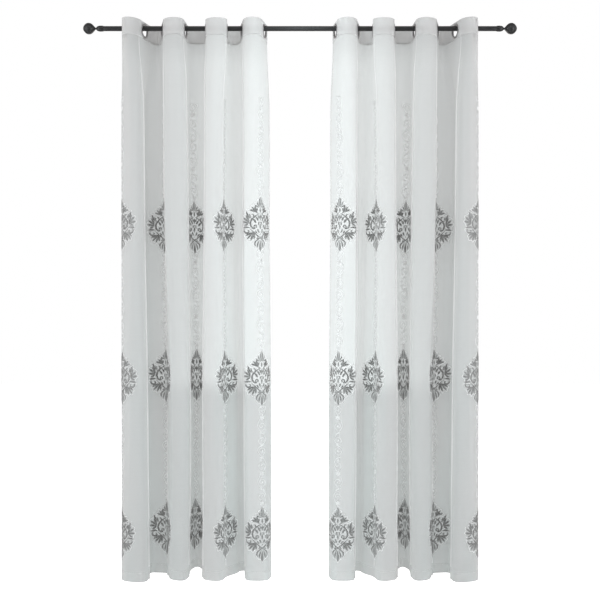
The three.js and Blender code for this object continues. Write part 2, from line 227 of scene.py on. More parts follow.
# ------------------------------------------------------------------ fold plans
def unit(degrees):
    a = math.radians(degrees)
    return np.array([math.cos(a), math.sin(a)])


def bend(p0, d0, p1, d1, hold, n=120):
    p0 = np.asarray(p0, float)
    p1 = np.asarray(p1, float)
    reach = hold * np.linalg.norm(p1 - p0)
    c0 = p0 + d0 * reach
    c1 = p1 - d1 * reach
    t = np.linspace(0, 1, n + 1)[:, None]
    return (1 - t) ** 3 * p0 + 3 * (1 - t) ** 2 * t * c0 + 3 * (1 - t) * t ** 2 * c1 + t ** 3 * p1


def run_length(p):
    return float(np.linalg.norm(np.diff(p, axis=0), axis=1).sum())


def bend_of_length(p0, d0, p1, d1, length):
    low, high = 0.05, 1.6
    for _ in range(40):
        hold = (low + high) / 2
        if run_length(bend(p0, d0, p1, d1, hold)) < length:
            low = hold
        else:
            high = hold
    return bend(p0, d0, p1, d1, (low + high) / 2)


def chain(parts):
    return np.vstack([parts[0]] + [p[1:] for p in parts[1:]])


def heading_plan():
    parts = []
    walls = [(np.array([x, 0.0]), unit(-lean if i % 2 == 0 else lean)) for i, (x, lean) in enumerate(EYELETS)]
    for i, (centre, way) in enumerate(walls):
        start = -EYELET_MARGIN if i == 0 else -EYELET_FLAT
        end = EYELET_MARGIN if i == len(walls) - 1 else EYELET_FLAT
        parts.append(centre + way * np.linspace(start, end, 31)[:, None])
        if i == len(walls) - 1:
            break
        centre2, way2 = walls[i + 1]
        a = centre + way * EYELET_FLAT
        b = centre2 - way2 * EYELET_FLAT
        parts.append(bend_of_length(a, way, b, way2, EYELET_PITCH - 2 * EYELET_FLAT))
    return chain(parts)


def loose_plan(rows):
    return chain([bend_of_length(np.array(a[:2], float), unit(a[2]), np.array(b[:2], float), unit(b[2]), b[3] - a[3])
                  for a, b in zip(rows, rows[1:])])


class Plan:
    def __init__(self, z, points):
        self.z = z
        self.points = points
        along = np.concatenate([[0], np.cumsum(np.linalg.norm(np.diff(points, axis=0), axis=1))])
        self.flat = along * PANEL_WIDTH / along[-1]

    def at(self, s):
        return np.stack([np.interp(s, self.flat, self.points[:, 0]), np.interp(s, self.flat, self.points[:, 1])], -1)


PLANS = [Plan(HEADING_FOOT, heading_plan())] + [Plan(z, loose_plan(rows)) for z, rows in LEVELS]


def plan_weights(z):
    """How much of each plan a height takes: a smooth curve through the levels."""
    z = np.asarray(z, float)
    w = np.zeros(z.shape + (len(PLANS),))
    heights = [p.z for p in PLANS]
    done = z >= heights[0]
    w[done, 0] = 1
    for k in range(len(PLANS) - 1):
        m = ~done & ((z > heights[k + 1]) if k < len(PLANS) - 2 else np.ones_like(done))
        done = done | m
        span = heights[k] - heights[k + 1]
        t = (heights[k] - z[m]) / span
        w[m, k] += 2 * t ** 3 - 3 * t ** 2 + 1
        w[m, k + 1] += -2 * t ** 3 + 3 * t ** 2
        for j, gain in ((k, t ** 3 - 2 * t ** 2 + t), (k + 1, t ** 3 - t ** 2)):
            if j == 0:
                continue
            below = min(j + 1, len(PLANS) - 1)
            rate = gain * span / (heights[j - 1] - heights[below])
            w[m, below] += rate
            w[m, j - 1] -= rate
    return w


def plan_point(s, z):
    w = plan_weights(z)
    out = np.zeros(np.shape(s) + (2,))
    for k, plan in enumerate(PLANS):
        out += w[..., k, None] * plan.at(s)
    return out


def smooth(x, a, b):
    t = np.clip((x - a) / (b - a), 0, 1)
    return t * t * (3 - 2 * t)


def edge_place(places, z):
    """Where a fold's edge runs at height z, eased between its given heights."""
    down = -np.asarray(z, float)
    heights = [-h for h in EDGE_HEIGHTS]
    at = np.interp(down, heights, np.arange(len(heights)))
    k = np.minimum(at.astype(int), len(heights) - 2)
    t = at - k
    t = t * t * (3 - 2 * t)
    p = np.asarray(places, float)
    return p[k] * (1 - t) + p[k + 1] * t


def edge_live(middle, z, phase):
    """How strongly a fold's edge is pinched: nothing at the heading, and
    pressed flat where it would cross a medallion."""
    live = smooth(-z, 70, 190) * (0.82 + 0.18 * np.sin(z / 170.0 + phase))
    for column in MOTIF_COLUMNS:
        for row in MOTIF_ROWS:
            near = (1 - smooth(np.abs(middle - column), 62, 74)) * (1 - smooth(np.abs(z - row), 96, 124))
            live = live * (1 - near)
    return live


def crease_depth(s, z):
    out = np.zeros(np.shape(s))
    for i, (s_top, s_foot, z_top, z_foot, half, depth) in enumerate(CREASES):
        t = np.clip((z_top - z) / (z_top - z_foot), 0, 1)
        middle = s_top + (s_foot - s_top) * t + 2.5 * np.sin(z / 240.0 + 1.7 * i)
        live = smooth(-z, -z_top, -z_top + 160) * (1 - smooth(-z, -z_foot - 260, -z_foot + 30))
        sway = 0.75 + 0.25 * np.sin(z / 330.0 + 2.3 * i)
        out += depth * live * sway * np.exp(-((s - middle) / half) ** 2)
    for name, places, height in FOLD_EDGES:
        middle = edge_place(places, z)
        out -= height * edge_live(middle, z, places[1]) * np.exp(-((s - middle) / EDGE_HALF) ** 2)
    # the slow unevenness of hung voile
    calm = smooth(-z, 60, 260)
    out += calm * (0.55 * np.sin(s / 21.0 + 1.3 * np.sin(z / 410.0)) * np.sin(z / 520.0 + 0.8)
                   + 0.35 * np.sin(s / 13.0 + z / 700.0 + 0.9) * np.sin(z / 290.0 + 2.0))
    return out


def on_cloth(s, z, lift=0.0, creased=True):
    """Points of the left panel at flat place s and height z, lifted along the
    cloth's normal (plus is towards the wall)."""
    s, z, lift = np.broadcast_arrays(np.asarray(s, float), np.asarray(z, float), np.asarray(lift, float))
    p = plan_point(s, z)
    ahead = plan_point(np.minimum(s + 1.5, PANEL_WIDTH), z) - plan_point(np.maximum(s - 1.5, 0), z)
    ahead /= np.linalg.norm(ahead, axis=-1, keepdims=True)
    normal = np.stack([-ahead[..., 1], ahead[..., 0]], -1)
    if creased:
        lift = lift + crease_depth(s, z)
    p = p + normal * lift[..., None]
    return np.concatenate([p, z[..., None]], -1)


# ------------------------------------------------------------------ mesh helpers
def mesh_object(name, points, faces, materials, uv=None, face_material=None, flip=False):
    """points in millimetres; faces a list of index tuples."""
    me = bpy.data.meshes.new(name)
    if flip:
        faces = [tuple(reversed(f)) for f in faces]
    me.from_pydata((np.asarray(points, float) * MM).tolist(), [], faces)
    for m in materials:
        me.materials.append(m)
    me.polygons.foreach_set("use_smooth", np.ones(len(me.polygons), bool))
    if face_material is not None:
        me.polygons.foreach_set("material_index", np.asarray(face_material, np.int32))
    if uv is not None:
        layer = me.uv_layers.new(name="flat")
        corner = np.empty(len(me.loops), np.int32)
        me.loops.foreach_get("vertex_index", corner)
        layer.data.foreach_set("uv", np.asarray(uv, np.float32)[corner].ravel())
    me.update()
    ob = bpy.data.objects.new(name, me)
    bpy.context.scene.collection.objects.link(ob)
    return ob


def mirrored(points, side):
    points = np.array(points, float)
    if side > 0:
        points[..., 0] *= -1
    return points


# ------------------------------------------------------------------ materials
def new_material(name):
    mat = bpy.data.materials.new(name)
    mat.use_nodes = True
    nt = mat.node_tree
    bsdf = nt.nodes["Principled BSDF"]
    return mat, nt, bsdf


def node(nt, kind, **values):
    n = nt.nodes.new(kind)
    for key, value in values.items():
        if key in n.inputs:
            n.inputs[key].default_value = value
        else:
            setattr(n, key, value)
    return n


def ramp(nt, stops):
    n = nt.nodes.new("ShaderNodeValToRGB")
    cr = n.color_ramp
    while len(cr.elements) < len(stops):
        cr.elements.new(0.5)
    for e, (at, colour) in zip(cr.elements, stops):
        e.position = at
        e.color = (*colour, 1)
    return n


def voile(name, alpha, light, cool, dark, bump):
    """Plain-weave voile: fine crossing yarns, faint slubs, and a slow drift of
    tint across and down the cloth."""
    mat, nt, bsdf = new_material(name)
    uv = node(nt, "ShaderNodeUVMap", uv_map="flat")
    # yarns, about two to the millimetre, with slight unevenness
    wobble = node(nt, "ShaderNodeTexNoise", Scale=90.0, Detail=2.0)
    nt.links.new(uv.outputs["UV"], wobble.inputs["Vector"])
    shift = node(nt, "ShaderNodeMixRGB", blend_type="ADD", Fac=0.0006)
    nt.links.new(uv.outputs["UV"], shift.inputs["Color1"])
    nt.links.new(wobble.outputs["Color"], shift.inputs["Color2"])
    yarn = []
    for direction in ("X", "Y"):
        wave = node(nt, "ShaderNodeTexWave", wave_type="BANDS", bands_direction=direction, Scale=320.0,
                    Distortion=0.0)
        nt.links.new(shift.outputs["Color"], wave.inputs["Vector"])
        yarn.append(wave)
    weave = node(nt, "ShaderNodeMath", operation="MAXIMUM")
    nt.links.new(yarn[0].outputs["Fac"], weave.inputs[0])
    nt.links.new(yarn[1].outputs["Fac"], weave.inputs[1])
    # slubs: short thick places along the weft
    slub_map = node(nt, "ShaderNodeMapping")
    slub_map.inputs["Scale"].default_value = (9.0, 700.0, 1.0)
    nt.links.new(uv.outputs["UV"], slub_map.inputs["Vector"])
    slub = node(nt, "ShaderNodeTexNoise", Scale=1.0, Detail=3.0, Roughness=0.6)
    nt.links.new(slub_map.outputs["Vector"], slub.inputs["Vector"])
    # drift of tint
    drift_map = node(nt, "ShaderNodeMapping")
    drift_map.inputs["Scale"].default_value = (9.0, 0.9, 1.0)
    nt.links.new(uv.outputs["UV"], drift_map.inputs["Vector"])
    drift = node(nt, "ShaderNodeTexNoise", Scale=1.0, Detail=1.5, Roughness=0.5)
    nt.links.new(drift_map.outputs["Vector"], drift.inputs["Vector"])
    tint = ramp(nt, [(0.38, light), (0.64, cool)])
    nt.links.new(drift.outputs["Fac"], tint.inputs["Fac"])
    # the drop: neutral above, cooler towards the hem
    split = node(nt, "ShaderNodeSeparateXYZ")
    nt.links.new(uv.outputs["UV"], split.inputs["Vector"])
    fall = node(nt, "ShaderNodeMapRange")
    fall.inputs["From Min"].default_value = -0.6
    fall.inputs["From Max"].default_value = -1.7
    nt.links.new(split.outputs["Y"], fall.inputs["Value"])
    drop = node(nt, "ShaderNodeMixRGB", blend_type="MIX")
    drop.inputs["Color1"].default_value = (*light, 1)
    nt.links.new(fall.outputs["Result"], drop.inputs["Fac"])
    nt.links.new(tint.outputs["Color"], drop.inputs["Color2"])
    # yarn shading on the tint
    shade = ramp(nt, [(0.0, (dark, dark, dark)), (1.0, (1.0, 1.0, 1.0))])
    nt.links.new(weave.outputs["Value"], shade.inputs["Fac"])
    cloth = node(nt, "ShaderNodeMixRGB", blend_type="MULTIPLY", Fac=1.0)
    nt.links.new(drop.outputs["Color"], cloth.inputs["Color1"])
    nt.links.new(shade.outputs["Color"], cloth.inputs["Color2"])
    streak = ramp(nt, [(0.3, (0.965, 0.965, 0.965)), (0.62, (1.0, 1.0, 1.0))])
    nt.links.new(slub.outputs["Fac"], streak.inputs["Fac"])
    final = node(nt, "ShaderNodeMixRGB", blend_type="MULTIPLY", Fac=1.0)
    nt.links.new(cloth.outputs["Color"], final.inputs["Color1"])
    nt.links.new(streak.outputs["Color"], final.inputs["Color2"])
    nt.links.new(final.outputs["Color"], bsdf.inputs["Base Color"])
    height = node(nt, "ShaderNodeMath", operation="ADD")
    nt.links.new(weave.outputs["Value"], height.inputs[0])
    nt.links.new(slub.outputs["Fac"], height.inputs[1])
    relief = node(nt, "ShaderNodeBump", Strength=bump, Distance=0.0002)
    nt.links.new(height.outputs["Value"], relief.inputs["Height"])
    nt.links.new(relief.outputs["Normal"], bsdf.inputs["Normal"])
    bsdf.inputs["Roughness"].default_value = 0.9
    bsdf.inputs["Specular IOR Level"].default_value = 0.15
    bsdf.inputs["Sheen Weight"].default_value = 1.0
    bsdf.inputs["Sheen Roughness"].default_value = 0.55
    bsdf.inputs["Sheen Tint"].default_value = (1, 1, 1, 1)
    bsdf.inputs["Alpha"].default_value = alpha
    return mat


def thread(name, colour, deep, roughness, sheen, specular, metallic=0.0):
    """Satin-stitch thread: fine strands across each shape, with a soft gloss."""
    mat, nt, bsdf = new_material(name)
    uv = node(nt, "ShaderNodeUVMap", uv_map="flat")
    strand = node(nt, "ShaderNodeTexWave", wave_type="BANDS", bands_direction="X", Scale=380.0, Distortion=1.2,
                  Detail=1.0)
    nt.links.new(uv.outputs["UV"], strand.inputs["Vector"])
    mottle = node(nt, "ShaderNodeTexNoise", Scale=260.0, Detail=2.0)
    nt.links.new(uv.outputs["UV"], mottle.inputs["Vector"])
    mix = node(nt, "ShaderNodeMath", operation="MULTIPLY_ADD")
    mix.inputs[1].default_value = 0.6
    nt.links.new(strand.outputs["Fac"], mix.inputs[0])
    half = node(nt, "ShaderNodeMath", operation="MULTIPLY")
    half.inputs[1].default_value = 0.4
    nt.links.new(mottle.outputs["Fac"], half.inputs[0])
    nt.links.new(half.outputs["Value"], mix.inputs[2])
    tone = ramp(nt, [(0.1, deep), (0.85, colour)])
    nt.links.new(mix.outputs["Value"], tone.inputs["Fac"])
    nt.links.new(tone.outputs["Color"], bsdf.inputs["Base Color"])
    relief = node(nt, "ShaderNodeBump", Strength=0.35, Distance=0.0002)
    nt.links.new(strand.outputs["Fac"], relief.inputs["Height"])
    nt.links.new(relief.outputs["Normal"], bsdf.inputs["Normal"])
    bsdf.inputs["Roughness"].default_value = roughness
    bsdf.inputs["Specular IOR Level"].default_value = specular
    bsdf.inputs["Sheen Weight"].default_value = sheen
    bsdf.inputs["Sheen Roughness"].default_value = 0.35
    bsdf.inputs["Metallic"].default_value = metallic
    return mat


def metal(name, colour, metallic, roughness, grain_scale, grain, coat=0.0, specular=0.5):
    mat, nt, bsdf = new_material(name)
    co = node(nt, "ShaderNodeTexCoord")
    grainy = node(nt, "ShaderNodeTexNoise", Scale=grain_scale, Detail=4.0, Roughness=0.6)
    nt.links.new(co.outputs["Object"], grainy.inputs["Vector"])
    tone = ramp(nt, [(0.35, tuple(c * 0.86 for c in colour)), (0.65, tuple(min(1, c * 1.12) for c in colour))])
    nt.links.new(grainy.outputs["Fac"], tone.inputs["Fac"])
    nt.links.new(tone.outputs["Color"], bsdf.inputs["Base Color"])
    rough = node(nt, "ShaderNodeMapRange")
    rough.inputs["To Min"].default_value = roughness * 0.85
    rough.inputs["To Max"].default_value = roughness * 1.15
    nt.links.new(grainy.outputs["Fac"], rough.inputs["Value"])
    nt.links.new(rough.outputs["Result"], bsdf.inputs["Roughness"])
    relief = node(nt, "ShaderNodeBump", Strength=grain, Distance=0.0001)
    nt.links.new(grainy.outputs["Fac"], relief.inputs["Height"])
    nt.links.new(relief.outputs["Normal"], bsdf.inputs["Normal"])
    bsdf.inputs["Metallic"].default_value = metallic
    bsdf.inputs["Specular IOR Level"].default_value = specular
    bsdf.inputs["Coat Weight"].default_value = coat
    return mat


NEUTRAL = (0.90, 0.905, 0.90)
COOL = (0.86, 0.915, 0.905)
VOILE = voile("voile", 0.50, NEUTRAL, COOL, 0.86, 0.25)
HEADING = voile("voile_heading", 0.62, (0.87, 0.875, 0.87), (0.85, 0.875, 0.87), 0.92, 0.2)
# painted highlight: a whiter, more opaque voile for the fold-edge strips, standing in for the bright line a sheer fold
# shows where it is seen edge-on
EDGE_HIGHLIGHT = voile("voile_painted_edge_highlight", 0.67, (0.95, 0.955, 0.95), (0.93, 0.955, 0.95), 0.92, 0.25)
# partly real, partly painted shade: the heading's turned-in foot is more opaque for its extra layers, and its darker
# colour is painted shade for the dark line under the heading's edge
TURNED_IN_SHADE = voile("voile_turned_in_painted_shade", 0.85, (0.70, 0.705, 0.70), (0.69, 0.705, 0.70), 0.92, 0.2)
HEM = voile("voile_hem", 0.42, NEUTRAL, COOL, 0.88, 0.25)
GREY_THREAD = thread("silver_grey_thread", (0.36, 0.365, 0.36), (0.20, 0.205, 0.20), 0.34, 0.2, 0.5, metallic=0.5)
WHITE_THREAD = thread("white_thread", (0.89, 0.895, 0.89), (0.75, 0.76, 0.76), 0.5, 0.4, 0.4)
WHITE_CORD = thread("white_cord", (0.97, 0.975, 0.97), (0.88, 0.885, 0.88), 0.45, 0.6, 0.5)
SEWING_THREAD = thread("sewing_thread", (0.85, 0.86, 0.85), (0.6, 0.61, 0.6), 0.6, 0.2, 0.3)
BLACK = metal("satin_black", (0.022, 0.023, 0.024), 0.0, 0.38, 900.0, 0.15, specular=0.5)
NICKEL = metal("satin_nickel", (0.50, 0.50, 0.50), 1.0, 0.28, 1500.0, 0.1)


# ------------------------------------------------------------------ cloth
def arc(n):
    """Places round a turned edge: (out of the fold's middle, across it)."""
    a = np.linspace(0, math.pi, n + 2)[1:-1]
    return [(math.sin(t), math.cos(t)) for t in a]


def cloth_rows():
    """(height, lift, material) of each mesh row, from the top of the bottom
    hem's turning, round the hem, up the room side, over the top, and down to
    the heading's seam on the wall side."""
    rows = []
    hem_top = PANEL_FOOT + HEM_DEPTH
    seam = hem_top - 4.0
    low = PANEL_FOOT + TURN

    def pinch(z, at):
        return TURN * (1 - 0.75 * math.exp(-((z - at) / 2.2) ** 2))

    for z in (hem_top, seam + 2, seam, seam - 2, seam - 6, seam - 14, seam - 24, low):
        rows.append((z, pinch(z, seam), 2))
    for out, across in arc(3):
        rows.append((low - TURN * out, TURN * across, 2))
    for z in (low, seam - 24, seam - 14, seam - 6, seam - 2, seam, seam + 2, hem_top):
        rows.append((z, -pinch(z, seam), 2))
    rows.append((hem_top + 3, -0.35, 0))
    rows.append((hem_top + 8, 0.0, 0))
    foot = -HEADING_DEPTH + PANEL_TOP
    body_top, body_foot = foot - 9.0, hem_top + 20
    for z in np.linspace(body_foot, body_top, int(round((body_top - body_foot) / 20)) + 1):
        rows.append((float(z), 0.0, 0))
    rows.append((foot - 4, -0.2, 0))
    rows.append((foot, -TURN, 1))
    stitch = foot + 4.5
    high = PANEL_TOP - TURN
    hole_low, hole_high = EYELET_Z - 26, EYELET_Z + 26
    front = [foot + 2.2, stitch, stitch + 2.2 - 1e-6] if hole_low > stitch + 2.2 else [foot + 2.2, stitch - 1.0]
    front = [z for z in front if z < hole_low - 0.3]
    front += list(np.linspace(hole_low, hole_high, 13)) + [high - 3.0, high]
    for z in front:
        rows.append((z, -pinch(z, hole_low - 1.5), 1))
    for out, across in arc(3):
        rows.append((high + TURN * out, -TURN * across, 1))
    for z in [*reversed(front), foot]:
        rows.append((z, pinch(z, hole_low - 1.5), 1))
    # the heading's raw edge, turned in and caught by the stitching
    rows.append((foot - 0.5, TURN / 2, 1))
    for z in (foot + 0.4, foot + 2.2, stitch, foot + TURNED_IN):
        if z < hole_low - 0.3:
            rows.append((z, 0.0, 1))
    return rows


EDGE_STEPS = [-4.0, -2.8, -2.0, -1.4, -0.9, -0.45, 0.0, 0.45, 0.9, 1.4, 2.0, 2.8, 4.0]
GUIDES = [30.0] + [places[0] for _, places, _ in FOLD_EDGES] + [PANEL_WIDTH - 30.0]


def follow_edges(s, z):
    """Moves mesh columns, set out by their places in the heading, so that the
    close ones run down along the folds' edges."""
    out = np.empty(np.broadcast(s, z).shape)
    for r, height in enumerate(np.asarray(z, float)[:, 0]):
        now = [30.0] + [float(edge_place(places, height)) for _, places, _ in FOLD_EDGES] + [PANEL_WIDTH - 30.0]
        out[r] = np.interp(s[r], [0.0] + GUIDES + [PANEL_WIDTH], [0.0] + now + [PANEL_WIDTH])
    return out


def cloth_columns():
    """(flat place in the heading, lift) of each mesh column, from the outer
    side hem's turning to the inner one's, close together along fold edges."""
    def edge():
        back = [(s, 0.6 * (1 - 0.75 * math.exp(-((s - 12.0) / 1.8) ** 2))) for s in (SIDE_HEM, 12.0, 8.0, 4.0)]
        fold = [(0.6, 0.6)] + [(0.6 - 0.6 * out, 0.6 * across) for out, across in arc(3)] + [(0.6, -0.6)]
        front = [(s, -0.6 * (1 - 0.75 * math.exp(-((s - 12.0) / 1.8) ** 2))) for s in (4.0, 8.0, 12.0, SIDE_HEM)]
        return back + fold + front + [(EYELET_MARGIN - 26, 0.0)]
    columns = edge()
    for i in range(EYELET_COUNT):
        centre = EYELET_MARGIN + EYELET_PITCH * i
        columns += [(s, 0.0) for s in np.linspace(centre - 26, centre + 26, 13)[1:]]
        if i < EYELET_COUNT - 1:
            between = np.linspace(centre + 26, centre + EYELET_PITCH - 26, 35)[1:]
            for guide in GUIDES[1:-1]:
                if centre + 26 < guide < centre + EYELET_PITCH - 26:
                    between = [s for s in between if abs(s - guide) > 5.2]
                    between = sorted([*between, *(guide + d for d in EDGE_STEPS)])
            columns += [(s, 0.0) for s in between]
    columns += [(PANEL_WIDTH - s, lift) for s, lift in reversed(edge())][1:]
    return columns


def make_panel(side):
    word = "left" if side < 0 else "right"
    rows, columns = cloth_rows(), cloth_columns()
    nr, nc = len(rows), len(columns)
    z = np.array([r[0] for r in rows])[:, None] * np.ones((1, nc))
    s = follow_edges(np.ones((nr, 1)) * np.array([c[0] for c in columns])[None, :], z)
    lift = np.array([r[1] for r in rows])[:, None] + np.array([c[1] for c in columns])[None, :]
    points = [on_cloth(s, z, lift).reshape(-1, 3)]
    uv = [np.stack([s, z], -1).reshape(-1, 2) * MM]
    count = nr * nc
    zs = [r[0] for r in rows]
    ss = [c[0] for c in columns]
    crest = max(range(nr), key=lambda r: zs[r])
    hole = np.zeros((nr - 1, nc - 1), bool)
    faces, face_material = [], []
    extra_faces = []
    for i in range(EYELET_COUNT):
        centre = EYELET_MARGIN + EYELET_PITCH * i
        inside_c = [c for c in range(nc) if abs(ss[c] - centre) <= 26.01 and 15 < c < nc - 15 or
                    (abs(ss[c] - centre) <= 26.01 and abs(ss[c] - centre) > 25.9 and columns[c][1] == 0.0)]
        c0, c1 = min(inside_c), max(inside_c)
        for back in (False, True):
            inside_r = [r for r in range(nr) if abs(zs[r] - EYELET_Z) <= 26.01 and (r > crest) == back]
            r0, r1 = min(inside_r), max(inside_r)
            hole[r0:r1, c0:c1] = True
            loop = [(r0, c) for c in range(c0, c1)] + [(r, c1) for r in range(r0, r1)]
            loop += [(r1, c) for c in range(c1, c0, -1)] + [(r, c0) for r in range(r1, r0, -1)]
            outer = [r * nc + c for r, c in loop]
            base = rows[(r0 + r1) // 2][1]
            ls = np.array([ss[c] for _, c in loop]) - centre
            lz = np.array([zs[r] for r, _ in loop]) - EYELET_Z
            angle = np.arctan2(lz, ls)
            rim = np.hypot(ls, lz)
            previous = outer
            for share in (0.5, 1.0):
                radius = rim + (CLOTH_HOLE_RADIUS - rim) * share
                ps = centre + radius * np.cos(angle)
                pz = EYELET_Z + radius * np.sin(angle)
                points.append(on_cloth(ps, pz, base))
                uv.append(np.stack([ps, pz], -1) * MM)
                ring = list(range(count, count + len(loop)))
                count += len(loop)
                for k in range(len(loop)):
                    n = (k + 1) % len(loop)
                    extra_faces.append((previous[k], previous[n], ring[n], ring[k]))
                previous = ring
    pinched = [(places, [c for c in range(nc - 1) if abs((ss[c] + ss[c + 1]) / 2 - places[0]) < 2.05])
               for _, places, _ in FOLD_EDGES]
    for r in range(nr - 1):
        kind = max(rows[r][2], rows[r + 1][2]) if rows[r][2] and rows[r + 1][2] else 0
        kinds = [kind] * (nc - 1)
        middle_z = (zs[r] + zs[r + 1]) / 2
        # painted shade: the heading's bottom 3.6 mm takes the darker turned-in voile, for the dark line under its edge
        if kind == 1 and middle_z < PANEL_TOP - HEADING_DEPTH + 3.6:
            kinds = [4] * (nc - 1)
        # painted highlight: faces along each fold's pinched edge take the whiter, denser edge voile
        for places, along in pinched:
            if kind == 0 and r < crest and middle_z > PANEL_FOOT + HEM_DEPTH + 12:
                for c in along:
                    kinds[c] = 3
        for c in range(nc - 1):
            if not hole[r, c]:
                faces.append((r * nc + c, r * nc + c + 1, (r + 1) * nc + c + 1, (r + 1) * nc + c))
                face_material.append(kinds[c])
    faces += extra_faces
    face_material += [1] * len(extra_faces)
    ob = mesh_object(f"cloth_{word}", mirrored(np.vstack(points), side), faces, [VOILE, HEADING, HEM, EDGE_HIGHLIGHT, TURNED_IN_SHADE],
                     uv=np.vstack(uv), face_material=face_material, flip=side > 0)
    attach(ob, "root")
    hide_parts(f"curtain_{word}")
    return ob


# ------------------------------------------------------------------ embroidery
def through(points, widths, step):
    """A smooth line through points, with its width along it."""
    p = np.asarray(points, float)
    v = np.asarray(widths, float)
    ends = np.vstack([2 * p[0] - p[1], p, 2 * p[-1] - p[-2]])
    out, wide = [], []
    for i in range(len(p) - 1):
        a, b, c, d = ends[i:i + 4]
        m = max(2, int(math.ceil(np.linalg.norm(c - b) / step)))
        t = np.linspace(0, 1, m, endpoint=False)[:, None]
        out.append(0.5 * (2 * b + (c - a) * t + (2 * a - 5 * b + 4 * c - d) * t * t + (3 * b - a - 3 * c + d) * t ** 3))
        wide.append(v[i] + (v[i + 1] - v[i]) * (3 * t[:, 0] ** 2 - 2 * t[:, 0] ** 3))
    out.append(p[-1:])
    wide.append(v[-1:])
    return np.vstack(out), np.concatenate(wide)


def stroke(points, widths, step=3.4):
    return ("stroke", *through(points, widths, step))


def leaf(base, tip, width, bow=0.0, fat=0.42, point=0.75, step=3.2):
    b = np.asarray(base, float)
    e = np.asarray(tip, float)
    d = e - b
    size = math.hypot(*d)
    middle = (b + e) / 2 + np.array([-d[1], d[0]]) / size * bow * size
    t = np.linspace(0, 1, max(5, int(math.ceil(size / step))) + 1)
    line = ((1 - t) ** 2)[:, None] * b + (2 * t * (1 - t))[:, None] * middle + (t ** 2)[:, None] * e
    p = math.log(0.5) / math.log(fat)
    wide = np.maximum(width * np.sin(math.pi * t ** p) ** point, 0.5)
    return ("stroke", line, wide)


def curl(centre, r0, r1, start, turn, w0, w1, bead=0.0, step=3.0):
    size = abs(math.radians(turn)) * (r0 + r1) / 2
    t = np.linspace(0, 1, max(8, int(math.ceil(size / step))) + 1)
    a = np.radians(start + turn * t)
    r = r0 + (r1 - r0) * t ** 0.85
    line = np.stack([centre[0] + r * np.cos(a), centre[1] + r * np.sin(a)], 1)
    out = [("stroke", line, w0 + (w1 - w0) * t)]
    if bead:
        out.append(("bead", line[-1], bead))
    return out


def cord(points, width=1.4):
    return stroke(points, [width] * len(points), step=4.0)


def bead(place, radius):
    return ("bead", np.asarray(place, float), radius)


def mirror_motif(items):
    flip = np.array([-1.0, 1.0])
    return [(kind, where * flip, size) for kind, where, size in items]


def spray(base, tips, width, fat=0.62):
    """Lobes spreading from one base, each a little bowed."""
    n = len(tips)
    return [leaf(base, tip, width * (1.0 - 0.09 * ((k + n) % 2)), bow=0.10 * (k - (n - 1) / 2), fat=fat, point=0.6)
            for k, tip in enumerate(tips)]


